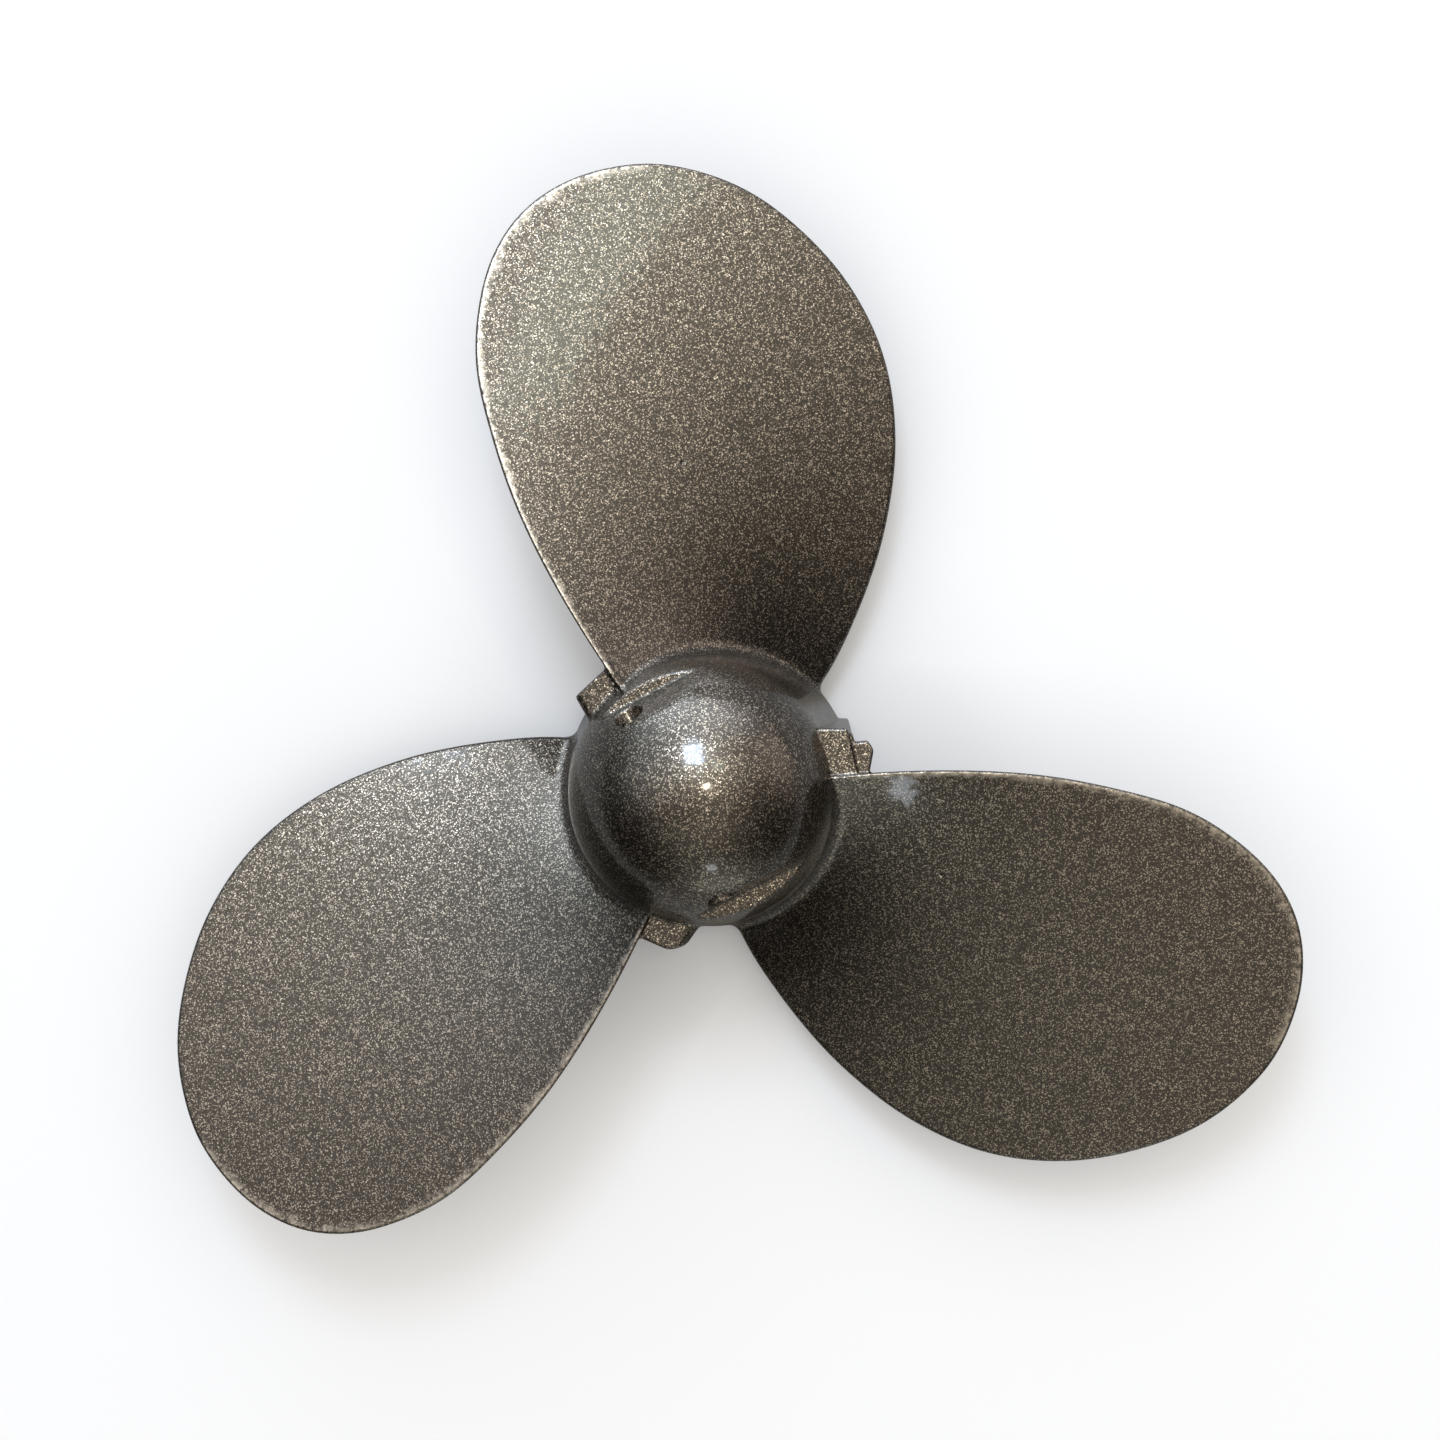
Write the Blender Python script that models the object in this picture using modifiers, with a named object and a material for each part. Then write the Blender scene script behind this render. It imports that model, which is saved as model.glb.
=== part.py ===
"""Three-blade outboard propeller, one aluminium casting.

The shaft runs along Z. The fore face of the hub lies on z = 0, the rounded nose points up and
the first blade points along +Y. Seen from the nose the propeller drives when turned clockwise,
so each blade's trailing edge is on its counter-clockwise side and stands higher.
"""
import math

import bmesh
import bpy
import numpy as np

NAME = "outboard_propeller"
BLADES = 3

# Hub: a cone that rises from the fore face and runs without a crease into the ball of the nose
NOSE_RADIUS = 0.0193
NOSE_CENTRE_Z = 0.0250
HUB_TAPER = math.radians(6.5)
FORE_RADIUS = NOSE_RADIUS / math.cos(HUB_TAPER) + NOSE_CENTRE_Z * math.tan(HUB_TAPER)
FORE_EDGE_ROUND = 0.0012

# Hidden inner faces: shaft bore with a drill point, and the slot for the drive pin
BORE_RADIUS = 0.005
BORE_DEPTH = 0.039
BORE_POINT = 0.0025
BORE_CHAMFER = 0.0006
SLOT_WIDTH = 0.0052
SLOT_DEPTH = 0.006
SLOT_LENGTH = 0.034

# Split pin: a hole across the nose, beside the axis, between two ledges with leaning walls
PIN_ANGLE = math.radians(111.0)
PIN_HOLE_RADIUS = 0.0021
PIN_HOLE_Z = 0.0360
PIN_HOLE_OFFSET = 0.0035
LEDGE_Z = 0.0331
LEDGE_DISTANCES = (0.0158, 0.01515)
LEDGE_LEANS = (math.radians(24.0), math.radians(12.0))

# Blades: a screw surface of constant pitch, with a small lean toward the fore end
TIP_RADIUS = 0.092
PITCH = 0.108
BLADE_Z = 0.021
LEAN = -0.034
LEAN_START = 0.040
ROOT_RADIUS = 0.014
TIP_SPREAD = 0.02
ROOT_THICKNESS = 0.0052
TIP_THICKNESS = 0.0020
EDGE_THICKNESS = 0.0016
THICKEST_AT = -0.15
FILLET = 0.0027
TRAILING_FADE = 0.5

# Blade outline: radius as a share of the tip radius, then how far the leading and the trailing
# edge stand from the blade's axis there, in degrees
OUTLINE = (
    (0.15, 59.5, 31.6),
    (0.22, 56.0, 31.0),
    (0.36, 48.0, 29.3),
    (0.51, 41.0, 27.0),
    (0.64, 35.0, 24.3),
    (0.75, 29.0, 21.7),
    (0.84, 22.5, 18.3),
    (0.91, 16.0, 14.7),
    (0.96, 10.3, 10.6),
    (0.99, 4.7, 5.7),
    (1.0, 0.0, 0.0),
)

# Lugs: a flat-topped land beside each trailing-edge root, down to the fore face. Corners are
# radius and angle from the blade's axis
LUG_TOP_Z = 0.0302
LUG_FOOT_Z = 0.0004
LUG_DRAFT = 0.02
LUGS = (
    ((0.0223, 29.6), (0.0225, 46.2), (0.0188, 51.0), (0.0150, 53.0), (0.0150, 29.0)),
    ((0.0224, 29.6), (0.0229, 42.6), (0.0220, 48.0), (0.0186, 54.0), (0.0150, 56.0), (0.0150, 29.0)),
    ((0.0226, 30.2), (0.0228, 47.4), (0.0191, 52.5), (0.0150, 55.0), (0.0150, 29.0)),
)

# Stub of flash on a strip outside the third blade's lug
STUB_TOP_Z = 0.0293
STUB_FOOT_Z = 0.0246
STUB_STRIP = ((0.0215, 29.0), (0.0234, 29.6), (0.0232, 45.6), (0.0215, 45.6))
STUB_NUB = ((0.0218, 30.5), (0.0242, 30.5), (0.0254, 37.8), (0.0249, 41.0), (0.0218, 42.6))

ROUND_STEPS = 72
NOSE_STEPS = 14
CHORD_STEPS = 12
FILLET_STEPS = 8
SPAN_STEPS = 16


def clear_scene():
    for thing in list(bpy.data.objects):
        bpy.data.objects.remove(thing, do_unlink=True)


def collection(name):
    group = bpy.data.collections.new(name)
    bpy.context.scene.collection.children.link(group)
    return group


def mesh_object(name, mesh, group):
    thing = bpy.data.objects.new(name, mesh)
    group.objects.link(thing)
    return thing


def as_tool(thing):
    """Marks an object as a shape that only a Boolean uses."""
    thing.hide_render = True
    thing.display_type = "WIRE"
    return thing


def loft(name, sections, group):
    """A closed triangulated skin over loops of equal length, with flat ends."""
    count = len(sections[0])
    body = bmesh.new()
    rings = [[body.verts.new(point) for point in loop] for loop in sections]
    for lower, upper in zip(rings, rings[1:]):
        for i in range(count):
            j = (i + 1) % count
            body.faces.new((lower[i], lower[j], upper[j], upper[i]))
    body.faces.new(tuple(reversed(rings[0])))
    body.faces.new(rings[-1])
    bmesh.ops.triangulate(body, faces=body.faces[:])
    bmesh.ops.recalc_face_normals(body, faces=body.faces[:])
    mesh = bpy.data.meshes.new(name)
    body.to_mesh(mesh)
    body.free()
    return as_tool(mesh_object(name, mesh, group))


def polar(radius, angle, z):
    return (radius * math.cos(angle), radius * math.sin(angle), z)


def hub_profile():
    """Half section of the hub, from the nose down its outer side and back up the bore."""
    points = []
    for i in range(NOSE_STEPS + 1):
        turn = (0.5 * math.pi - HUB_TAPER) * i / NOSE_STEPS
        points.append((NOSE_RADIUS * math.sin(turn), NOSE_CENTRE_Z + NOSE_RADIUS * math.cos(turn)))
    for turn in (0.0, 0.25 * math.pi, 0.5 * math.pi):
        inset = FORE_EDGE_ROUND * (1.0 - math.cos(turn))
        rise = FORE_EDGE_ROUND * (1.0 - math.sin(turn))
        points.append((FORE_RADIUS - inset, rise))
    points.append((BORE_RADIUS + BORE_CHAMFER, 0.0))
    points.append((BORE_RADIUS, BORE_CHAMFER))
    points.append((BORE_RADIUS, BORE_DEPTH - BORE_POINT))
    points.append((0.0, BORE_DEPTH))
    return points


def make_hub(group):
    """The hub as a profile turned about the shaft."""
    profile = hub_profile()
    mesh = bpy.data.meshes.new("casting")
    edges = [(i, i + 1) for i in range(len(profile) - 1)]
    mesh.from_pydata([(x, 0.0, z) for x, z in profile], edges, [])
    hub = mesh_object("casting", mesh, group)
    screw = hub.modifiers.new("turn", "SCREW")
    screw.steps = ROUND_STEPS
    screw.render_steps = ROUND_STEPS
    screw.use_merge_vertices = True
    screw.merge_threshold = 0.00001
    return hub


def hub_distance(radius, z):
    """How far a point stands out from the hub's surface."""
    if z > NOSE_CENTRE_Z:
        return math.hypot(radius, z - NOSE_CENTRE_Z) - NOSE_RADIUS
    return radius - FORE_RADIUS + z * math.tan(HUB_TAPER)


def edge_angle(side, spread):
    """Angle of one edge of the blade, through the outline's points by a smooth curve.

    spread is the square root of the distance from the tip, which turns the round tip into a
    curve without a corner. side is 1 for the leading edge and 2 for the trailing edge.
    """
    knots = [math.sqrt(1.0 - row[0]) for row in reversed(OUTLINE)]
    angles = [row[side] for row in reversed(OUTLINE)]
    other = OUTLINE[-2][3 - side]
    knots.insert(0, -knots[1])
    angles.insert(0, -other)
    slopes = np.gradient(angles, knots)
    k = min(max(np.searchsorted(knots, spread) - 1, 0), len(knots) - 2)
    width = knots[k + 1] - knots[k]
    t = (spread - knots[k]) / width
    start = (1 + 2 * t) * (1 - t) ** 2 * angles[k] + t * (1 - t) ** 2 * width * slopes[k]
    end = t * t * (3 - 2 * t) * angles[k + 1] + t * t * (t - 1) * width * slopes[k + 1]
    return math.radians(start + end)


def blade_radii():
    """Radii of the blade's sections, close together at the fillet and toward the tip."""
    fillet_end = FORE_RADIUS + FILLET
    fillet_start = NOSE_RADIUS - 0.5 * FILLET
    radii = [ROOT_RADIUS]
    for i in range(FILLET_STEPS + 1):
        radii.append(fillet_start + (fillet_end - fillet_start) * i / FILLET_STEPS)
    first = math.sqrt(1.0 - fillet_end / TIP_RADIUS)
    for i in range(1, SPAN_STEPS + 1):
        spread = first + (TIP_SPREAD - first) * i / SPAN_STEPS
        radii.append(TIP_RADIUS * (1.0 - spread * spread))
    return radii


def blade_section(radius, axis_angle):
    """Closed loop round the blade at one radius: aft face, trailing edge, fore face, leading edge."""
    spread = math.sqrt(1.0 - radius / TIP_RADIUS)
    slope = math.atan2(PITCH, 2.0 * math.pi * radius)
    inset = 0.5 * EDGE_THICKNESS * math.cos(slope) / radius
    leading = -edge_angle(1, spread) + inset
    trailing = edge_angle(2, spread) - inset
    span = (radius - ROOT_RADIUS) / (TIP_RADIUS - ROOT_RADIUS)
    thickest = ROOT_THICKNESS + (TIP_THICKNESS - ROOT_THICKNESS) * span
    aft, fore = [], []
    for i in range(CHORD_STEPS + 1):
        share = -math.cos(math.pi * i / CHORD_STEPS)
        angle = 0.5 * (leading + trailing) + 0.5 * (trailing - leading) * share
        height = BLADE_Z + PITCH * angle / (2.0 * math.pi) + LEAN * (radius - LEAN_START)
        away = max(hub_distance(radius, height), 0.0)
        rise = 0.0
        if away < FILLET:
            rise = FILLET - math.sqrt(FILLET ** 2 - (FILLET - away) ** 2)
        fade = min((1.0 - share) / TRAILING_FADE, 1.0)
        reach = 1.0 - THICKEST_AT if share > THICKEST_AT else 1.0 + THICKEST_AT
        bulge = 1.0 - ((share - THICKEST_AT) / reach) ** 2
        depth = EDGE_THICKNESS + (thickest - EDGE_THICKNESS) * bulge
        turn = axis_angle + angle
        normal = np.array((math.sin(slope) * math.sin(turn), -math.sin(slope) * math.cos(turn),
                           math.cos(slope)))
        base = np.array(polar(radius, turn, height))
        aft.append(base + normal * rise * fade)
        fore.append(base - normal * (depth + rise))
    return aft + round_edge(aft, fore, -1) + fore[::-1] + round_edge(fore, aft, 0)


def round_edge(start, end, i):
    """Points of the half-round between the last points of two faces."""
    middle = 0.5 * (start[i] + end[i])
    half = start[i] - middle
    inner = start[1] if i == 0 else start[-2]
    outward = start[i] - inner
    outward = outward - half * (outward @ half) / (half @ half)
    outward = outward / np.linalg.norm(outward) * 0.5 * EDGE_THICKNESS
    points = []
    for turn in (0.25 * math.pi, 0.5 * math.pi, 0.75 * math.pi):
        points.append(middle + half * math.cos(turn) + outward * math.sin(turn))
    return points


def make_blade(number, group):
    axis_angle = 0.5 * math.pi + 2.0 * math.pi * number / BLADES
    sections = [blade_section(radius, axis_angle) for radius in blade_radii()]
    return loft(f"blade_{number + 1}", sections, group)


def land(name, corners, axis_angle, top, foot, draft, group):
    """A flat-topped block on the hub's side, wider toward its foot by its draft."""
    upper = [polar(r, axis_angle + math.radians(a), top) for r, a in corners]
    spread = draft * (top - foot)
    lower = [polar(r + spread, axis_angle + math.radians(a), foot) for r, a in corners]
    return loft(name, [lower, upper], group)


def make_lugs(group):
    lands = []
    for number, corners in enumerate(LUGS):
        axis_angle = 0.5 * math.pi + 2.0 * math.pi * number / BLADES
        name = f"lug_{number + 1}"
        lands.append(land(name, corners, axis_angle, LUG_TOP_Z, LUG_FOOT_Z, LUG_DRAFT, group))
    for name, corners in (("flash_strip", STUB_STRIP), ("flash_nub", STUB_NUB)):
        lands.append(land(name, corners, axis_angle, STUB_TOP_Z, STUB_FOOT_Z, 0.0, group))
    return lands


def make_ledge_cutters(group):
    """Wedges that cut a flat floor and a leaning wall into two sides of the nose."""
    reach = 2.0 * NOSE_RADIUS
    top = NOSE_CENTRE_Z + 1.5 * NOSE_RADIUS
    cutters = []
    for side, (distance, lean) in enumerate(zip(LEDGE_DISTANCES, LEDGE_LEANS)):
        turn = PIN_ANGLE + math.pi * side
        inner = distance - (top - LEDGE_Z) * math.tan(lean)
        ends = []
        for shift in (-NOSE_RADIUS, NOSE_RADIUS):
            loop = []
            for out, z in ((distance, LEDGE_Z), (reach, LEDGE_Z), (reach, top), (inner, top)):
                x = out * math.cos(turn) - shift * math.sin(turn)
                y = out * math.sin(turn) + shift * math.cos(turn)
                loop.append((x, y, z))
            ends.append(loop)
        cutters.append(loft(f"ledge_cutter_{side + 1}", ends, group))
    return cutters


def make_pin_hole_cutter(group):
    """Round cutter across the nose, beside the shaft's axis."""
    body = bmesh.new()
    bmesh.ops.create_cone(body, cap_ends=True, segments=24, radius1=PIN_HOLE_RADIUS,
                          radius2=PIN_HOLE_RADIUS, depth=2.5 * NOSE_RADIUS)
    mesh = bpy.data.meshes.new("pin_hole_cutter")
    body.to_mesh(mesh)
    body.free()
    cutter = mesh_object("pin_hole_cutter", mesh, group)
    cutter.rotation_euler = (0.0, 0.5 * math.pi, PIN_ANGLE)
    beside = PIN_ANGLE + 0.5 * math.pi
    cutter.location = polar(PIN_HOLE_OFFSET, beside, PIN_HOLE_Z)
    return as_tool(cutter)


def make_slot_cutter(group):
    """Box cutter for the drive pin's slot across the fore face."""
    body = bmesh.new()
    bmesh.ops.create_cube(body, size=1.0)
    bmesh.ops.scale(body, vec=(SLOT_LENGTH, SLOT_WIDTH, 2.0 * SLOT_DEPTH), verts=body.verts[:])
    mesh = bpy.data.meshes.new("slot_cutter")
    body.to_mesh(mesh)
    body.free()
    return as_tool(mesh_object("slot_cutter", mesh, group))


def join(hub, tool, operation):
    step = hub.modifiers.new(tool.name, "BOOLEAN")
    step.operation = operation
    step.object = tool
    step.solver = "EXACT"


def paint(thing):
    """Bronze-grey metallic paint over the cast aluminium."""
    finish = bpy.data.materials.new("bronze_grey_paint")
    finish.use_nodes = True
    shader = finish.node_tree.nodes["Principled BSDF"]
    shader.inputs["Base Color"].default_value = (0.17, 0.15, 0.125, 1.0)
    shader.inputs["Metallic"].default_value = 0.75
    shader.inputs["Roughness"].default_value = 0.42
    thing.data.materials.append(finish)


def build():
    clear_scene()
    part = collection(NAME)
    tools = collection("boolean_tools")
    hub = make_hub(part)
    for number in range(BLADES):
        join(hub, make_blade(number, tools), "UNION")
    for lug in make_lugs(tools):
        join(hub, lug, "UNION")
    for cutter in make_ledge_cutters(tools):
        join(hub, cutter, "DIFFERENCE")
    join(hub, make_pin_hole_cutter(tools), "DIFFERENCE")
    join(hub, make_slot_cutter(tools), "DIFFERENCE")
    paint(hub)
    hub.data.shade_smooth()


build()
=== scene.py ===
"""Looks of a three-blade outboard propeller: one aluminium casting in bronze-grey flake paint."""

import math

import bpy
import numpy as np
from mathutils import Matrix, Vector


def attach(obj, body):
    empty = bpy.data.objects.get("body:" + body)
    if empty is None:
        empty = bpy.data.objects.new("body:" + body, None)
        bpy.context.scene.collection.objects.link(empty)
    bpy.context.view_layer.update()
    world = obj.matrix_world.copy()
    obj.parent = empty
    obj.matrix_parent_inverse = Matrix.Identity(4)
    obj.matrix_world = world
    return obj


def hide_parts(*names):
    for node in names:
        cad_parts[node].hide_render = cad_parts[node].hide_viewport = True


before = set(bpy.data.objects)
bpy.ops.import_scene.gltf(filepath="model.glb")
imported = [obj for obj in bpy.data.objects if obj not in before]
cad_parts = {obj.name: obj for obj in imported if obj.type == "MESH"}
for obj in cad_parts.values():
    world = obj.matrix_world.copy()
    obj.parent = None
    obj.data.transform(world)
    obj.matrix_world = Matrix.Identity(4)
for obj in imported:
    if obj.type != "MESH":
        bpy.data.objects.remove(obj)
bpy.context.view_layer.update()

# Camera. It looks almost straight down the shaft onto the nose, from a third of a metre away.
# The shaft leans two or three degrees to the lower left of the picture.
IMAGE_SIDE = 1440
CAMERA_DISTANCE = 0.339
CAMERA_FOCAL_PIXELS = 2323
SENSOR_WIDTH = 36.0
CLIP_START = 0.01
CAMERA_AIM = Vector((0.0, 0.0, 0.021))
CAMERA_SHIFT = Vector((-0.0024, -0.0102, -CAMERA_DISTANCE))
CAMERA_TILT_UP = math.radians(1.3)
CAMERA_TILT_SIDE = math.radians(-2.55)
CAMERA_ROLL = math.radians(6.35)

turn = Matrix.Rotation(CAMERA_TILT_UP, 3, "X")
turn = turn @ Matrix.Rotation(CAMERA_TILT_SIDE, 3, "Y") @ Matrix.Rotation(CAMERA_ROLL, 3, "Z")
camera = bpy.data.objects.new("camera", bpy.data.cameras.new("camera"))
bpy.context.scene.collection.objects.link(camera)
camera.matrix_world = (Matrix.Translation(CAMERA_AIM) @ turn.transposed().to_4x4()
                       @ Matrix.Translation(-CAMERA_SHIFT))
camera.data.sensor_width = SENSOR_WIDTH
camera.data.lens = SENSOR_WIDTH * CAMERA_FOCAL_PIXELS / IMAGE_SIDE
camera.data.clip_start = CLIP_START
bpy.context.scene.camera = camera

# Casting. The real propeller is one piece of aluminium poured in a two-part mould: hub, nose,
# blades and lugs together. Its skin is worked out here as a distance to the metal, in
# millimetres, which is negative inside, so that every corner gets the soft round of a casting.
MM = 0.001
NOSE_RADIUS = 19.3
NOSE_CENTRE_Z = 25.0
HUB_TAPER = math.radians(6.5)
FORE_EDGE_ROUND = 1.6


def rounded_union(a, b, size):
    """Joins two distances with a fillet in the corner between them."""
    reach = np.maximum(size - np.abs(a - b), 0.0)
    return np.minimum(a, b) - reach * reach / (4.0 * size)


def rounded_cut(a, b, size):
    """Keeps what is inside both distances, with the edge between them rounded."""
    return -rounded_union(-a, -b, size)


def hub_distance(radius, z):
    """A cone that runs without a crease into the ball of the nose."""
    up = z - NOSE_CENTRE_Z
    ball = np.hypot(radius, up) - NOSE_RADIUS
    cone = radius * math.cos(HUB_TAPER) + up * math.sin(HUB_TAPER) - NOSE_RADIUS
    return np.where(up > radius * math.tan(HUB_TAPER), ball, cone)


# Blades. Three broad blades cast with the hub, each a screw surface on its aft face with the
# thickness behind it. The outline is given as (radius over tip radius, leading angle, trailing
# angle), in degrees from the blade's axis.
BLADES = 3
TIP_RADIUS = 92.0
PITCH = 108.0
BLADE_Z = 21.0
LEAN = -0.034
LEAN_START = 40.0
ROOT_RADIUS = 14.0
ROOT_THICKNESS = 5.2
TIP_THICKNESS = 2.0
EDGE_THICKNESS = 1.6
EDGE_ROUND = 0.55
# Rub band: a pale strip along the aft corner of each rim, partly rubbed paint and partly a painted
# glint.
RUB_AND_GLINT_AT = 0.02
RUB_AND_GLINT_WIDTH = 0.28
RUB_AND_GLINT_LEADING_FADE = 2.0
RUB_AND_GLINT_CLEAR_OF_NOSE = 2.0
THICKEST_AT = -0.15
ROOT_FILLET = 2.0
TRAILING_FILLET = 0.5
FILLET_FADE = math.radians(20.0)
TIP_ZONE = (66.0, 80.0)
OUTLINE_STEP = 1.0
OUTLINE_SAMPLES = 4001
SHARES_BEYOND_TIP = (0.0001, 0.9)
SHARES_ON_BLADE = (0.1, 0.9999)
LEAST_RADIUS = 5.0
OUTLINE = (
    (0.10, 61.5, 31.9),
    (0.22, 56.0, 31.0),
    (0.36, 48.0, 29.3),
    (0.51, 41.0, 27.0),
    (0.64, 35.0, 24.3),
    (0.75, 29.0, 21.7),
    (0.84, 22.5, 18.3),
    (0.91, 16.0, 14.7),
    (0.96, 10.3, 10.6),
    (0.99, 4.7, 5.7),
    (1.0, 0.0, 0.0),
)


def smooth_curve(x, knots, values):
    """A curve through the knots whose slope changes without a jump."""
    slopes = np.gradient(values, knots)
    k = np.clip(np.searchsorted(knots, x) - 1, 0, len(knots) - 2)
    width = knots[k + 1] - knots[k]
    t = (x - knots[k]) / width
    start = (1 + 2 * t) * (1 - t) ** 2 * values[k] + t * (1 - t) ** 2 * width * slopes[k]
    return start + t * t * (3 - 2 * t) * values[k + 1] + t * t * (t - 1) * width * slopes[k + 1]


rows = np.array(OUTLINE)
spread = np.sqrt(1.0 - rows[:, 0])
edge_knots = np.concatenate([-spread, spread[-2::-1]])
edge_angles = np.radians(np.concatenate([-rows[:, 1], rows[-2::-1, 2]]))
fine_spread = np.linspace(edge_knots[0], edge_knots[-1], OUTLINE_SAMPLES)
outline_angle = smooth_curve(fine_spread, edge_knots, edge_angles)
outline_radius = TIP_RADIUS * (1.0 - fine_spread ** 2)
outline_slope = np.gradient(outline_radius, outline_angle)


def beyond_outline(radius, angle, leading, trailing, reach):
    """Distance past the outline, measured in the blade's own surface; negative inside.

    reach is how far a step of one radian goes there. Along the sides the distance is taken
    across the edge from its angle, and round the tip from its radius.
    """
    further = np.sqrt(np.clip(1.0 - (radius + OUTLINE_STEP) / TIP_RADIUS, *SHARES_BEYOND_TIP))
    sides = []
    for sign, edge in ((1.0, trailing), (-1.0, leading)):
        sweep = (np.interp(sign * further, fine_spread, outline_angle) - edge) / OUTLINE_STEP
        sides.append(sign * (angle - edge) / np.hypot(1.0 / reach, sweep))
    side = np.maximum(sides[0], sides[1])
    rim = np.interp(angle, outline_angle, outline_radius)
    rim_slope = np.interp(angle, outline_angle, outline_slope)
    tip = (radius - rim) / np.hypot(1.0, rim_slope / reach)
    share = np.clip((radius - TIP_ZONE[0]) / (TIP_ZONE[1] - TIP_ZONE[0]), 0.0, 1.0)
    return side + (tip - side) * share * share * (3.0 - 2.0 * share)


def blade_distance(radius, angle, z):
    """Distance to a blade whose axis lies at angle 0, how far to take the root's fillet, and
    how much of the paint is rubbed thin there, on the aft corner of the rim, with a painted glint
    along it.
    """
    slope = np.arctan2(PITCH, 2.0 * math.pi * radius)
    face = BLADE_Z + PITCH * angle / (2.0 * math.pi) + LEAN * (radius - LEAN_START)
    share = np.clip(radius / TIP_RADIUS, *SHARES_ON_BLADE)
    away = np.sqrt(1.0 - share)
    leading = np.interp(-away, fine_spread, outline_angle)
    trailing = np.interp(away, fine_spread, outline_angle)
    chord = np.clip((2.0 * angle - leading - trailing) / (trailing - leading), -1.0, 1.0)
    side = np.where(chord > THICKEST_AT, 1.0 - THICKEST_AT, 1.0 + THICKEST_AT)
    bulge = 1.0 - ((chord - THICKEST_AT) / side) ** 2
    span = np.clip((radius - ROOT_RADIUS) / (TIP_RADIUS - ROOT_RADIUS), 0.0, 1.0)
    thickest = ROOT_THICKNESS + (TIP_THICKNESS - ROOT_THICKNESS) * span
    half = 0.5 * (EDGE_THICKNESS + (thickest - EDGE_THICKNESS) * bulge)
    middle = (z - face) * np.cos(slope) + half
    reach = np.maximum(radius, LEAST_RADIUS) / np.cos(slope)
    across = np.abs(middle) - half + EDGE_ROUND
    outward = beyond_outline(radius, angle, leading, trailing, reach) + EDGE_ROUND
    inside = np.minimum(np.maximum(across, outward), 0.0)
    distance = inside + np.hypot(np.maximum(across, 0.0), np.maximum(outward, 0.0)) - EDGE_ROUND
    distance = np.maximum(distance, ROOT_RADIUS - radius)
    # The rub band is also a painted glint: it lies where the rim's edge catches a highlight.
    rub_and_painted_glint = np.clip(1.0 - np.abs(outward - RUB_AND_GLINT_AT) / RUB_AND_GLINT_WIDTH, 0.0, 1.0)
    rub_and_painted_glint = rub_and_painted_glint * np.clip(1.0 + RUB_AND_GLINT_LEADING_FADE * chord, 0.0, 1.0)
    aft_corner = (middle > 0.0) & (across > 0.0) & (radius > NOSE_RADIUS + RUB_AND_GLINT_CLEAR_OF_NOSE)
    rub_and_painted_glint = np.where(aft_corner, rub_and_painted_glint, 0.0)
    fade = np.clip((trailing - angle) / FILLET_FADE, 0.0, 1.0)
    fillet = TRAILING_FILLET + (ROOT_FILLET - TRAILING_FILLET) * np.where(middle > 0.0, fade, 1.0)
    return distance, fillet, rub_and_painted_glint


# Lugs. A flat-topped land stands on the hub beside each trailing edge, where the mould halves
# met. Each was dressed by hand, so they differ. Corners are (radius, degrees from the blade's
# axis), and start with the two of the side that faces the gap to the next blade.
LUG_TOP_Z = 30.2
LUG_REACH = 27.0
LUGS = (
    {"corners": ((22.5, 46.2), (18.8, 51.0), (15.0, 53.0), (15.0, 29.0), (22.3, 29.6)),
     "gap_draft": 0.05, "gap_round": 1.4, "outer_draft": 0.02, "outer_round": 0.35, "fillet": 0.8},
    {"corners": ((22.0, 48.0), (18.6, 54.0), (15.0, 56.0), (15.0, 29.0), (22.4, 29.6),
                 (22.9, 42.6)),
     "gap_draft": 0.02, "gap_round": 2.0, "outer_draft": 0.02, "outer_round": 0.6, "fillet": 0.6},
    {"corners": ((22.8, 47.4), (19.1, 52.5), (15.0, 55.0), (15.0, 29.0), (22.6, 30.2)),
     "gap_draft": 0.03, "gap_round": 0.35, "outer_draft": 0.02, "outer_round": 0.3, "fillet": 0.3},
)


def prism_distance(u, v, z, corners, top, drafts, rounds):
    """Distance to an upright block over a convex outline; each side has its draft and round."""
    points = [(r * math.cos(math.radians(a)), r * math.sin(math.radians(a))) for r, a in corners]
    distance = z - top
    for (u1, v1), (u2, v2), draft, size in zip(points, points[1:] + points[:1], drafts, rounds):
        length = math.hypot(u2 - u1, v2 - v1)
        out = ((u - u1) * (v2 - v1) - (v - v1) * (u2 - u1)) / length
        distance = rounded_cut(distance, out - draft * (top - z), size)
    return distance


def lug_distance(u, v, z, lug):
    """Distance to one lug, in the level directions of its blade."""
    others = len(lug["corners"]) - 1
    drafts = (lug["gap_draft"],) + (lug["outer_draft"],) * others
    rounds = (lug["gap_round"],) + (lug["outer_round"],) * others
    return prism_distance(u, v, z, lug["corners"], LUG_TOP_Z, drafts, rounds)


# Stub. A nub of flash left standing on a strip outside the third blade's lug, a little lower
# than its top, with the groove of the trimming tool between the strip and the lug.
STUB_BLADE = 2
STUB_TOP_Z = 29.3
STUB_FOOT_Z = 24.6
STUB_CORNERS = (
    ((22.0, 30.5), (24.2, 30.5), (25.4, 37.8), (24.9, 41.0), (22.5, 42.2)),
    ((21.5, 30.5), (23.4, 30.5), (23.2, 45.6), (21.5, 45.6)),
)
STUB_ROUND = 0.35
GROOVE_ENDS = ((22.65, 31.5), (22.7, 43.7))
GROOVE_RADIUS = 0.2
GROOVE_Z = 29.4


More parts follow.
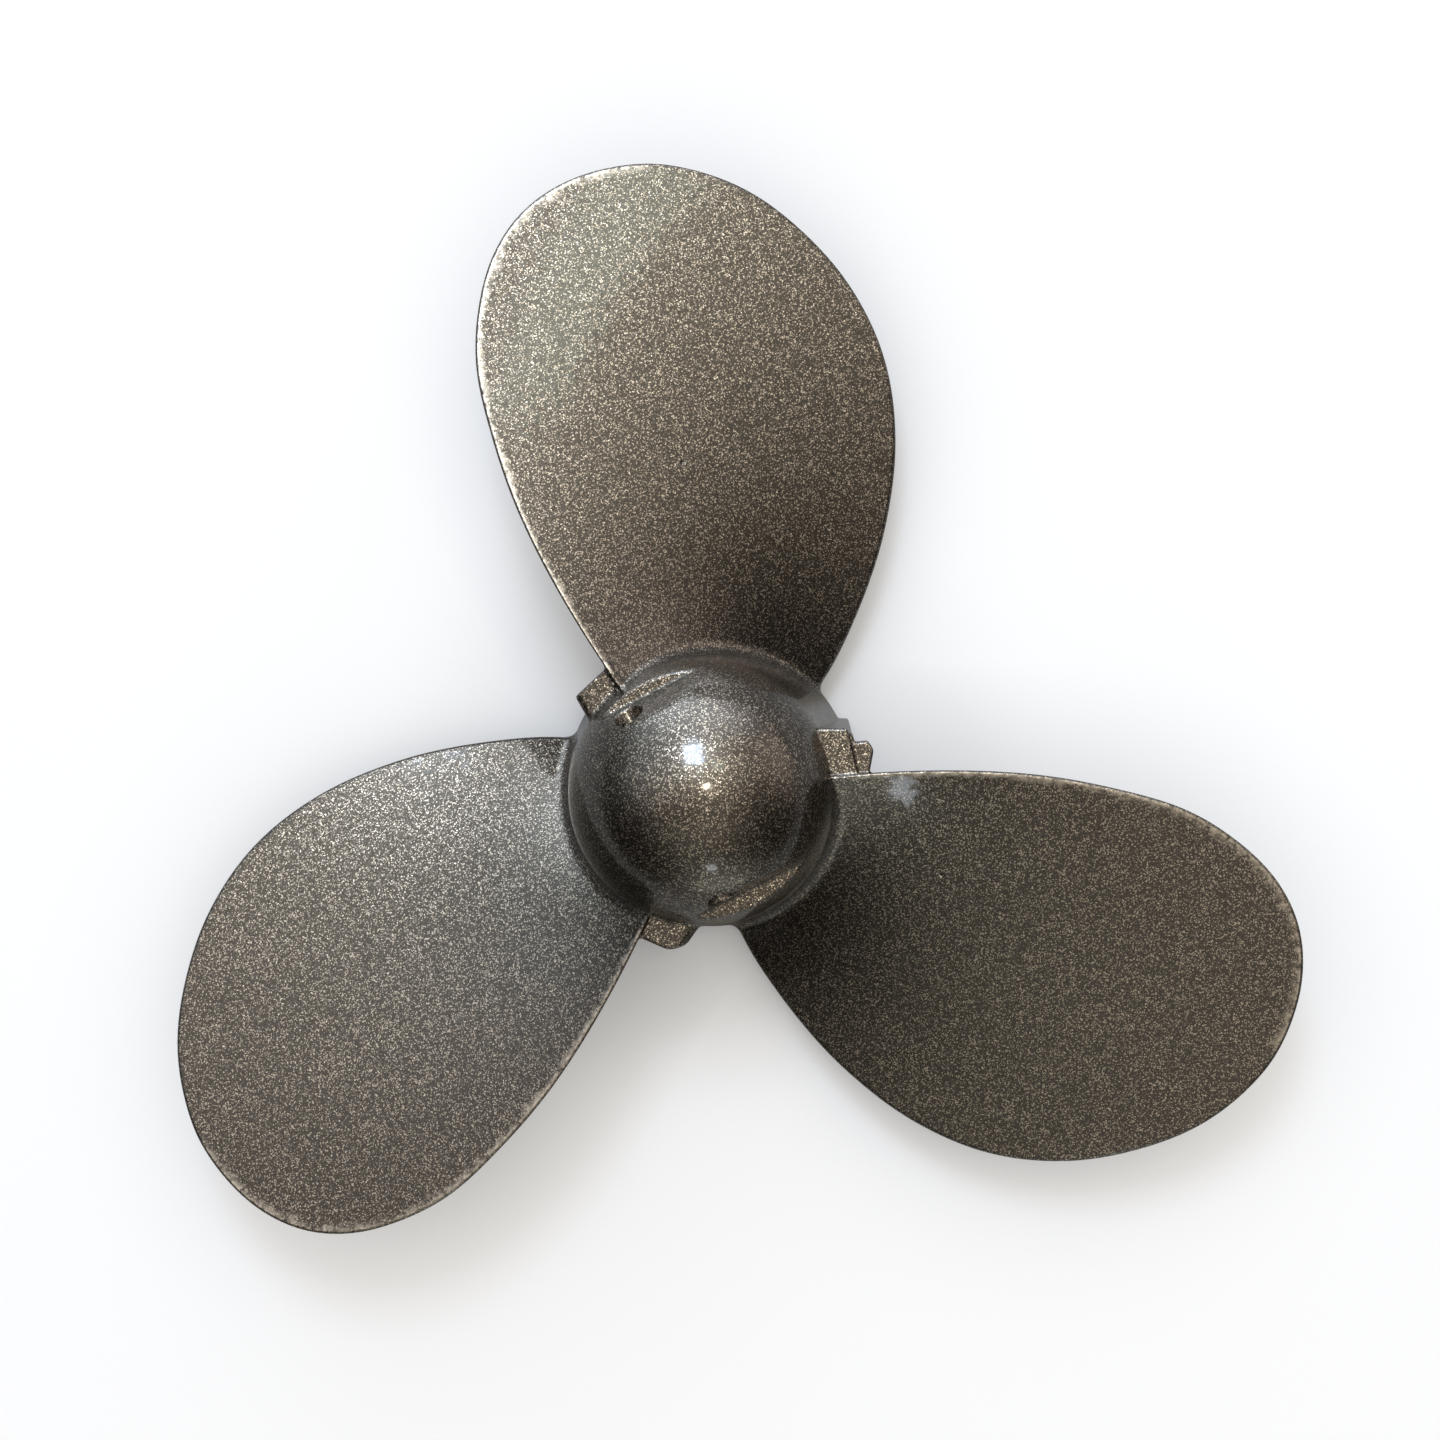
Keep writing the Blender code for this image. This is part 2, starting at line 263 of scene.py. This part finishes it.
def stub_distance(u, v, z):
    """Distance to the stub and the strip that it stands on."""
    parts = []
    for corners in STUB_CORNERS:
        level = (0.0,) * len(corners)
        rounds = (STUB_ROUND,) * len(corners)
        parts.append(prism_distance(u, v, z, corners, STUB_TOP_Z, level, rounds))
    stub = rounded_union(parts[0], parts[1], STUB_ROUND)
    return rounded_cut(stub, STUB_FOOT_Z - z, STUB_ROUND)


def groove_distance(u, v, z):
    """Distance to the air in the groove, a narrow channel along a straight line."""
    start, end = [np.array((r * math.cos(math.radians(a)), r * math.sin(math.radians(a))))
                  for r, a in GROOVE_ENDS]
    along = end - start
    share = ((u - start[0]) * along[0] + (v - start[1]) * along[1]) / (along @ along)
    share = np.clip(share, 0.0, 1.0)
    side = np.hypot(u - start[0] - share * along[0], v - start[1] - share * along[1])
    depth = np.maximum(GROOVE_Z - z, 0.0)
    return np.hypot(side, depth) - GROOVE_RADIUS


# Nose. The split pin lies on two ledges milled into opposite sides, each with a flat floor and
# a leaning wall, and passes through a hole drilled beside the shaft.
PIN_ANGLE = math.radians(111.0)
PIN_HOLE_RADIUS = 2.1
PIN_HOLE_Z = 36.0
PIN_HOLE_OFFSET = 3.5
LEDGE_Z = 33.1
LEDGE_DISTANCES = (15.8, 15.15)
LEDGE_LEANS = (math.radians(24.0), math.radians(12.0))
LEDGE_ROUND = 0.3
HOLE_ROUND = 0.35


def ledge_distance(out, z, distance, lean):
    """Distance to the air that one ledge leaves, negative in the air."""
    wall = (distance - out) * math.cos(lean) - (z - LEDGE_Z) * math.sin(lean)
    return rounded_cut(wall, LEDGE_Z - z, LEDGE_ROUND)


# Pinholes. Two small pits that gas left in the metal as it set, in the aft faces of the first
# and the third blade, painted over. Each is a centre and a radius.
PINHOLES = (((2.26, 47.89, 20.05), 0.38), ((32.79, -15.91, 22.50), 0.34))
PINHOLE_ROUND = 0.12

# Shaft bore and drive-pin slot. The bore is drilled from the fore face for a sliding fit on the
# shaft; the slot milled across that face takes the pin that drives the propeller.
BORE_RADIUS = 5.0
BORE_DEPTH = 39.0
SLOT_WIDTH = 5.2
SLOT_DEPTH = 6.0
SLOT_LENGTH = 34.0
MACHINED_ROUND = 0.25


def inner_cuts(x, y, z):
    """Distance to the air in the shaft bore and the drive-pin slot."""
    bore = rounded_cut(np.hypot(x, y) - BORE_RADIUS, z - BORE_DEPTH, MACHINED_ROUND)
    slot = np.maximum(np.abs(x) - 0.5 * SLOT_LENGTH, np.abs(y) - 0.5 * SLOT_WIDTH)
    return np.minimum(bore, np.maximum(slot, z - SLOT_DEPTH))


# Whole casting. Hub, blades, lugs and stub joined with their fillets, then the ledges, the pin
# hole, the pinholes, the bore and the slot cut away, all in one skin as the mould gives it.
NEAR_HUB = 34.0
BLADE_MIDDLE = math.radians(-10.0)


def blade_angle(x, y, number):
    """Angle from a blade's axis, between half a turn back and half a turn on."""
    axis = 0.5 * math.pi + 2.0 * math.pi * number / BLADES
    return (np.arctan2(y, x) - axis + math.pi) % (2.0 * math.pi) - math.pi


def casting_distance(points):
    """Distance from each point to the skin of the whole casting."""
    x, y, z = points.T
    radius = np.hypot(x, y)
    skin = hub_distance(radius, z)
    for number in range(BLADES):
        angle = blade_angle(x, y, number)
        own_third = np.abs(angle - BLADE_MIDDLE) < math.pi / BLADES
        near = np.flatnonzero((radius < NEAR_HUB) | own_third)
        blade, fillet, _ = blade_distance(radius[near], angle[near], z[near])
        skin[near] = rounded_union(skin[near], blade, fillet)
        near = np.flatnonzero(radius < LUG_REACH)
        u = radius[near] * np.cos(angle[near])
        v = radius[near] * np.sin(angle[near])
        lug = LUGS[number]
        skin[near] = rounded_union(skin[near], lug_distance(u, v, z[near], lug), lug["fillet"])
        if number == STUB_BLADE:
            skin[near] = rounded_union(skin[near], stub_distance(u, v, z[near]), STUB_ROUND)
            skin[near] = np.maximum(skin[near], -groove_distance(u, v, z[near]))
    skin = rounded_cut(skin, -z, FORE_EDGE_ROUND)
    out = x * math.cos(PIN_ANGLE) + y * math.sin(PIN_ANGLE)
    beside = y * math.cos(PIN_ANGLE) - x * math.sin(PIN_ANGLE)
    for side, distance, lean in zip((out, -out), LEDGE_DISTANCES, LEDGE_LEANS):
        skin = rounded_cut(skin, -ledge_distance(side, z, distance, lean), LEDGE_ROUND)
    hole = np.hypot(beside - PIN_HOLE_OFFSET, z - PIN_HOLE_Z) - PIN_HOLE_RADIUS
    skin = rounded_cut(skin, -hole, HOLE_ROUND)
    for centre, size in PINHOLES:
        away = np.linalg.norm(points - np.array(centre), axis=1)
        skin = rounded_cut(skin, size - away, PINHOLE_ROUND)
    return rounded_cut(skin, -inner_cuts(x, y, z), MACHINED_ROUND)


def rim_rub_and_painted_glint(points):
    """How much of the paint is rubbed thin, and so how strong the painted glint is, at each point,
    from 0 to 1.
    """
    x, y, z = points.T
    rubbed_and_painted_glint = np.zeros(len(points))
    for number in range(BLADES):
        angle = blade_angle(x, y, number)
        near = np.flatnonzero(np.abs(angle - BLADE_MIDDLE) < math.pi / BLADES)
        rub_and_painted_glint = blade_distance(np.hypot(x, y)[near], angle[near], z[near])[2]
        rubbed_and_painted_glint[near] = np.maximum(rubbed_and_painted_glint[near], rub_and_painted_glint)
    return rubbed_and_painted_glint


# Skin of the casting as a mesh. The CAD solid is wrapped in a fine even net, whose points then
# settle onto the skin worked out above. Flat stretches are thinned, edges keep their points.
COARSE_NET_SIZE = 0.0006
NET_SIZE = 0.00027
PROBE = 0.01
LONGEST_STEP = 0.4
LEAST_SLOPE_SQUARED = 0.25
SETTLE_ROUNDS = 4
SMOOTH_ROUNDS = 2
FINISH_ROUNDS = 2
TRIANGLE_LIMIT = 185000


def skin_slope(points, here):
    """Direction in which the distance grows, at each point."""
    slope = np.empty_like(points)
    for k in range(3):
        moved = points.copy()
        moved[:, k] += PROBE
        slope[:, k] = (casting_distance(moved) - here) / PROBE
    return slope


def settle(points, rounds):
    """Moves the points onto the casting's skin."""
    for _ in range(rounds):
        here = casting_distance(points)
        slope = skin_slope(points, here)
        step = here / np.maximum((slope ** 2).sum(axis=1), LEAST_SLOPE_SQUARED)
        points = points - slope * np.clip(step, -LONGEST_STEP, LONGEST_STEP)[:, None]
    return points


def mesh_points(mesh):
    """The mesh's points in millimetres."""
    flat = np.empty(len(mesh.vertices) * 3)
    mesh.vertices.foreach_get("co", flat)
    return flat.reshape(-1, 3) / MM


def set_mesh_points(mesh, points):
    mesh.vertices.foreach_set("co", (points * MM).ravel())
    mesh.update()


def evaluated_mesh(thing):
    """The object's mesh with its modifiers applied."""
    graph = bpy.context.evaluated_depsgraph_get()
    return bpy.data.meshes.new_from_object(thing.evaluated_get(graph))


def even_out(points, edges, rounds):
    """Draws each point toward the middle of its neighbours."""
    count = np.bincount(edges.ravel(), minlength=len(points))[:, None]
    for _ in range(rounds):
        total = np.zeros_like(points)
        for k in range(3):
            total[:, k] = (np.bincount(edges[:, 0], points[edges[:, 1], k], len(points))
                           + np.bincount(edges[:, 1], points[edges[:, 0], k], len(points)))
        points = 0.5 * points + 0.5 * total / count
    return points


def mesh_edges(mesh):
    """The two point numbers of every edge."""
    flat = np.empty(len(mesh.edges) * 2, dtype=np.int32)
    mesh.edges.foreach_get("vertices", flat)
    return flat.reshape(-1, 2)


def make_casting():
    """The dressed casting, from the CAD solid to the thinned mesh with its normals and its rub
    with the painted glint.
    """
    casting = bpy.data.objects.new("propeller_casting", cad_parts["casting"].data.copy())
    bpy.context.scene.collection.objects.link(casting)
    for size in (COARSE_NET_SIZE, NET_SIZE):
        net = casting.modifiers.new("net", "REMESH")
        net.mode = "VOXEL"
        net.voxel_size = size
        mesh = evaluated_mesh(casting)
        casting.modifiers.clear()
        points = settle(mesh_points(mesh), SETTLE_ROUNDS)
        points = settle(even_out(points, mesh_edges(mesh), SMOOTH_ROUNDS), FINISH_ROUNDS)
        set_mesh_points(mesh, points)
        casting.data = mesh
    mesh.calc_loop_triangles()
    thin = casting.modifiers.new("thin", "DECIMATE")
    thin.ratio = min(1.0, TRIANGLE_LIMIT / len(mesh.loop_triangles))
    mesh = evaluated_mesh(casting)
    casting.modifiers.clear()
    points = settle(mesh_points(mesh), FINISH_ROUNDS)
    set_mesh_points(mesh, points)
    casting.data = mesh
    slope = skin_slope(points, casting_distance(points))
    slope /= np.linalg.norm(slope, axis=1)[:, None]
    mesh.shade_smooth()
    mesh.normals_split_custom_set_from_vertices(slope)
    # The rub attribute carries both the rubbed paint and the painted glint along the rims.
    rub_and_painted_glint = mesh.attributes.new("rub_and_painted_glint", "FLOAT", "POINT")
    rub_and_painted_glint.data.foreach_set("value", rim_rub_and_painted_glint(points))
    return casting


casting = make_casting()

# Paint. Bronze-grey metallic paint over the whole casting: fine aluminium flakes, each lying at
# its own small angle in a dark binder, under a glossy clear coat with a little orange peel. Along
# the aft corner of the rims, on the trailing side and round the tips, it is rubbed thin, with a
# painted glint.
FLAKE_SIZE = 0.00015
FLAKE_TILT = 0.20
BINDER_COLOUR = (0.040, 0.0352, 0.0292, 1.0)
FLAKE_COLOUR = (0.072, 0.0634, 0.0526, 1.0)
BRIGHT_FLAKE_COLOUR = (0.62, 0.548, 0.454, 1.0)
FLAKES_FROM = 0.76
FLAKE_ROUGHNESS = 0.37
COAT_ROUGHNESS = 0.1
# Rubbed colour: a pale cream that paints the glint along the rims as well as the thin paint.
RUB_AND_PAINTED_GLINT_COLOUR = (0.60, 0.55, 0.47, 1.0)
RUB_AND_GLINT_GRAIN = 0.0009
RUB_AND_GLINT_PATCHES_FROM = 0.3
RUB_AND_GLINT_PATCHES_FULL = 0.55
RUB_AND_GLINT_STRENGTH = 1.2
ORANGE_PEEL_SIZE = 0.0016
ORANGE_PEEL_DEPTH = 0.00003

paint = bpy.data.materials.new("bronze_flake_paint")
paint.use_nodes = True
nodes = paint.node_tree.nodes
links = paint.node_tree.links
shader = nodes["Principled BSDF"]
shader.inputs["Metallic"].default_value = 1.0
shader.inputs["Roughness"].default_value = FLAKE_ROUGHNESS
shader.inputs["Coat Weight"].default_value = 1.0
shader.inputs["Coat Roughness"].default_value = COAT_ROUGHNESS
place = nodes.new("ShaderNodeTexCoord").outputs["Object"]

flakes = nodes.new("ShaderNodeTexVoronoi")
flakes.inputs["Scale"].default_value = 1.0 / FLAKE_SIZE
links.new(place, flakes.inputs["Vector"])
luck = nodes.new("ShaderNodeTexWhiteNoise")
links.new(flakes.outputs["Position"], luck.inputs["Vector"])
shine = nodes.new("ShaderNodeValToRGB")
ramp = shine.color_ramp
ramp.elements[0].position = 0.0
ramp.elements[0].color = BINDER_COLOUR
ramp.elements[1].position = 1.0
ramp.elements[1].color = BRIGHT_FLAKE_COLOUR
ramp.elements.new(FLAKES_FROM).color = FLAKE_COLOUR
links.new(luck.outputs["Value"], shine.inputs["Fac"])

rub_and_glint_grain = nodes.new("ShaderNodeTexNoise")
rub_and_glint_grain.inputs["Scale"].default_value = 1.0 / RUB_AND_GLINT_GRAIN
links.new(place, rub_and_glint_grain.inputs["Vector"])
rub_and_glint_share = nodes.new("ShaderNodeMath")
rub_and_glint_share.operation = "MULTIPLY"
rub_and_glint_share.use_clamp = True
rim = nodes.new("ShaderNodeAttribute")
rim.attribute_name = "rub_and_painted_glint"
links.new(rim.outputs["Fac"], rub_and_glint_share.inputs[0])
rub_and_glint_patches = nodes.new("ShaderNodeMapRange")
rub_and_glint_patches.inputs["From Min"].default_value = RUB_AND_GLINT_PATCHES_FROM
rub_and_glint_patches.inputs["From Max"].default_value = RUB_AND_GLINT_PATCHES_FULL
rub_and_glint_patches.inputs["To Max"].default_value = RUB_AND_GLINT_STRENGTH
links.new(rub_and_glint_grain.outputs["Fac"], rub_and_glint_patches.inputs["Value"])
links.new(rub_and_glint_patches.outputs["Result"], rub_and_glint_share.inputs[1])
# Mixing in the rubbed colour paints a glint line along the rims.
rubbed_and_painted_glint = nodes.new("ShaderNodeMix")
rubbed_and_painted_glint.data_type = "RGBA"
rubbed_and_painted_glint.inputs["B"].default_value = RUB_AND_PAINTED_GLINT_COLOUR
links.new(rub_and_glint_share.outputs["Value"], rubbed_and_painted_glint.inputs["Factor"])
links.new(shine.outputs["Color"], rubbed_and_painted_glint.inputs["A"])
links.new(rubbed_and_painted_glint.outputs["Result"], shader.inputs["Base Color"])

normal = nodes.new("ShaderNodeNewGeometry").outputs["Normal"]
lean = nodes.new("ShaderNodeVectorMath")
lean.operation = "SUBTRACT"
lean.inputs[1].default_value = (0.5, 0.5, 0.5)
links.new(flakes.outputs["Color"], lean.inputs[0])
tilt = nodes.new("ShaderNodeVectorMath")
tilt.operation = "MULTIPLY_ADD"
tilt.inputs[1].default_value = (FLAKE_TILT, FLAKE_TILT, FLAKE_TILT)
links.new(lean.outputs["Vector"], tilt.inputs[0])
links.new(normal, tilt.inputs[2])
flake_normal = nodes.new("ShaderNodeVectorMath")
flake_normal.operation = "NORMALIZE"
links.new(tilt.outputs["Vector"], flake_normal.inputs[0])
links.new(flake_normal.outputs["Vector"], shader.inputs["Normal"])

peel = nodes.new("ShaderNodeTexNoise")
peel.inputs["Scale"].default_value = 1.0 / ORANGE_PEEL_SIZE
peel.inputs["Detail"].default_value = 1.0
links.new(place, peel.inputs["Vector"])
peel_bump = nodes.new("ShaderNodeBump")
peel_bump.inputs["Strength"].default_value = 1.0
peel_bump.inputs["Distance"].default_value = ORANGE_PEEL_DEPTH
links.new(peel.outputs["Fac"], peel_bump.inputs["Height"])
links.new(peel_bump.outputs["Normal"], shader.inputs["Coat Normal"])
casting.data.materials.clear()
casting.data.materials.append(paint)

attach(casting, "root")
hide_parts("casting")

# Floor. A plain pale sheet under the propeller. To the camera it is white and glows a little,
# less so close to the metal, which paints a grey contact shadow round it. Reflections see it as a
# dimmer grey card.
FLOOR_REACH = 2.0
FLOOR_DROP = 0.0002
FLOOR_WHITE = (0.400, 0.406, 0.420, 1.0)
FLOOR_PAINTED_GLOW = 0.52
FLOOR_PAINTED_SHADOW_REACH = 0.032
FLOOR_REFLECTED = (0.27, 0.27, 0.27, 1.0)

floor_mesh = bpy.data.meshes.new("floor")
corners = [(x * FLOOR_REACH, y * FLOOR_REACH, 0.0)
           for x, y in ((-1, -1), (1, -1), (1, 1), (-1, 1))]
floor_mesh.from_pydata(corners, [], [(0, 1, 2, 3)])
floor = bpy.data.objects.new("floor", floor_mesh)
floor.location.z = -FLOOR_DROP
bpy.context.scene.collection.objects.link(floor)

sheet = bpy.data.materials.new("floor_sheet")
sheet.use_nodes = True
sheet_nodes = sheet.node_tree.nodes
sheet_links = sheet.node_tree.links
sheet_nodes.clear()
reflected = sheet_nodes.new("ShaderNodeBsdfDiffuse")
reflected.inputs["Color"].default_value = FLOOR_REFLECTED
seen = sheet_nodes.new("ShaderNodeBsdfDiffuse")
seen.inputs["Color"].default_value = FLOOR_WHITE
sheet_mix = sheet_nodes.new("ShaderNodeMixShader")
sheet_ray = sheet_nodes.new("ShaderNodeLightPath")
sheet_links.new(sheet_ray.outputs["Is Camera Ray"], sheet_mix.inputs["Fac"])
sheet_links.new(reflected.outputs["BSDF"], sheet_mix.inputs[1])
# Painted light and shadow: the floor glows though it is no lamp, and ambient occlusion dims that
# glow close to the metal.
painted_shadow_near_metal = sheet_nodes.new("ShaderNodeAmbientOcclusion")
painted_shadow_near_metal.inputs["Distance"].default_value = FLOOR_PAINTED_SHADOW_REACH
painted_sheet_glow = sheet_nodes.new("ShaderNodeEmission")
painted_sheet_glow.inputs["Strength"].default_value = FLOOR_PAINTED_GLOW
sheet_links.new(painted_shadow_near_metal.outputs["Color"], painted_sheet_glow.inputs["Color"])
seen_and_painted_glow = sheet_nodes.new("ShaderNodeAddShader")
sheet_links.new(seen.outputs["BSDF"], seen_and_painted_glow.inputs[0])
sheet_links.new(painted_sheet_glow.outputs["Emission"], seen_and_painted_glow.inputs[1])
sheet_links.new(seen_and_painted_glow.outputs["Shader"], sheet_mix.inputs[2])
sheet_output = sheet_nodes.new("ShaderNodeOutputMaterial")
sheet_links.new(sheet_mix.outputs["Shader"], sheet_output.inputs["Surface"])
floor_mesh.materials.append(sheet)

# Soft light. A dim studio with wide soft glows in it, most of them on the first blade's side.
# Each glow has an azimuth and an elevation in degrees, and its brightness in red, green and blue.
GLOW_TIGHTNESS = 14.0
BACKDROP = (0.93, 0.93, 0.93, 1.0)
GLOWS = (
    (105, 8, (2.81, 3.14, 3.42)),
    (73, 17, (2.62, 2.65, 2.77)),
    (80, 61, (2.50, 2.24, 1.84)),
    (20, 11, (1.18, 1.00, 0.89)),
    (275, 1, (1.02, 1.03, 0.91)),
    (145, 37, (0.73, 0.80, 0.86)),
    (28, 54, (0.70, 0.63, 0.53)),
    (165, 57, (0.65, 0.56, 0.50)),
    (303, 60, (0.63, 0.54, 0.46)),
    (250, 51, (0.48, 0.45, 0.38)),
)


def toward(azimuth, elevation):
    """Unit vector from the propeller toward a direction in degrees."""
    turned, raised = math.radians(azimuth), math.radians(elevation)
    level = math.cos(raised)
    return Vector((level * math.cos(turned), level * math.sin(turned), math.sin(raised)))


studio = bpy.data.worlds.new("studio")
studio.use_nodes = True
studio_nodes = studio.node_tree.nodes
studio_links = studio.node_tree.links
studio_nodes.clear()
direction = studio_nodes.new("ShaderNodeTexCoord").outputs["Generated"]
light_sum = None
for azimuth, elevation, colour in GLOWS:
    facing = studio_nodes.new("ShaderNodeVectorMath")
    facing.operation = "DOT_PRODUCT"
    facing.inputs[1].default_value = toward(azimuth, elevation)
    studio_links.new(direction, facing.inputs[0])
    falloff = studio_nodes.new("ShaderNodeMath")
    falloff.operation = "MULTIPLY_ADD"
    falloff.inputs[1].default_value = GLOW_TIGHTNESS
    falloff.inputs[2].default_value = -GLOW_TIGHTNESS
    studio_links.new(facing.outputs["Value"], falloff.inputs[0])
    glow = studio_nodes.new("ShaderNodeMath")
    glow.operation = "EXPONENT"
    studio_links.new(falloff.outputs["Value"], glow.inputs[0])
    coloured = studio_nodes.new("ShaderNodeVectorMath")
    coloured.operation = "SCALE"
    coloured.inputs[0].default_value = colour
    studio_links.new(glow.outputs["Value"], coloured.inputs["Scale"])
    if light_sum is None:
        light_sum = coloured.outputs["Vector"]
        continue
    both = studio_nodes.new("ShaderNodeVectorMath")
    both.operation = "ADD"
    studio_links.new(light_sum, both.inputs[0])
    studio_links.new(coloured.outputs["Vector"], both.inputs[1])
    light_sum = both.outputs["Vector"]
soft_light = studio_nodes.new("ShaderNodeBackground")
studio_links.new(light_sum, soft_light.inputs["Color"])
backdrop = studio_nodes.new("ShaderNodeBackground")
backdrop.inputs["Color"].default_value = BACKDROP
studio_mix = studio_nodes.new("ShaderNodeMixShader")
studio_ray = studio_nodes.new("ShaderNodeLightPath")
studio_links.new(studio_ray.outputs["Is Camera Ray"], studio_mix.inputs["Fac"])
studio_links.new(soft_light.outputs["Background"], studio_mix.inputs[1])
studio_links.new(backdrop.outputs["Background"], studio_mix.inputs[2])
studio_output = studio_nodes.new("ShaderNodeOutputWorld")
studio_links.new(studio_mix.outputs["Shader"], studio_output.inputs["Surface"])
bpy.context.scene.world = studio
bpy.context.scene.view_settings.view_transform = "Standard"

# Panels. A window with its sill, a small warm lamp and a card beside the camera, and a low
# reflector, all facing the propeller. Their reflections are the bright spots on the nose. Each
# has an azimuth and an elevation, its half widths in degrees, and its brightness.
PANEL_DISTANCE = 0.9
PANEL_AIM = Vector((0.0, 0.0, 0.02))
PANELS = (
    ("window", 92, 56, (7.5, 8.0), (13.0, 16.0, 20.0)),
    ("window_sill", 92, 46, (4.5, 4.5), (2.6, 3.5, 4.8)),
    ("lamp", 40, 80, (2.6, 2.6), (34.0, 31.0, 25.0)),
    ("card", 50, 61.5, (3.4, 3.4), (1.7, 2.1, 1.8)),
    ("reflector", -88, 25, (2.9, 2.9), (4.2, 4.6, 5.0)),
)

for name, azimuth, elevation, half_angles, colour in PANELS:
    across, along = [2.0 * PANEL_DISTANCE * math.tan(math.radians(half)) for half in half_angles]
    light = bpy.data.lights.new(name, "AREA")
    light.shape = "RECTANGLE"
    light.size = across
    light.size_y = along
    light.color = [part / max(colour) for part in colour]
    light.energy = max(colour) * math.pi * across * along
    panel = bpy.data.objects.new(name, light)
    panel.location = PANEL_AIM + toward(azimuth, elevation) * PANEL_DISTANCE
    panel.rotation_euler = toward(azimuth, elevation).to_track_quat("Z", "Y").to_euler()
    bpy.context.scene.collection.objects.link(panel)
